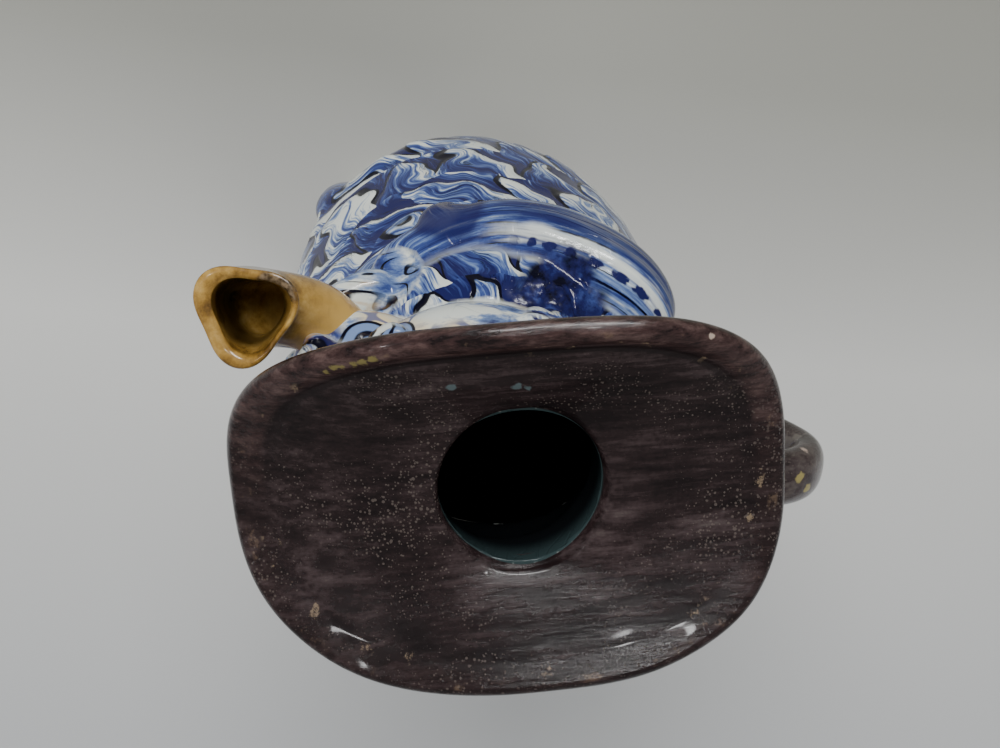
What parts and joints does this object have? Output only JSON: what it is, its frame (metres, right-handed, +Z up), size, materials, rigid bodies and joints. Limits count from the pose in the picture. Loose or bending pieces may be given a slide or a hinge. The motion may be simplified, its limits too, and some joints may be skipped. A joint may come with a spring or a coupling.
{
  "type": "monkey jug",
  "caption": "Hollow tin-glazed jug shaped as a seated monkey: dished hat with a filling hole, horn spout at the mouth and a strap handle.",
  "frame": {"origin": "centre of the underside of the foot", "axes": "+Z up; the monkey's chest faces -Y and its right side -X, the handle stands at +Y"},
  "size_m": [0.1242, 0.1801, 0.227],
  "materials": {
    "tin_glaze": "Glossy tin glaze over a white ground, brushed in cobalt blue; manganese-brown hat and handle, ochre spout."
  },
  "bodies": {
    "root": {"jug": "tin_glaze"}
  },
  "joints": []
}
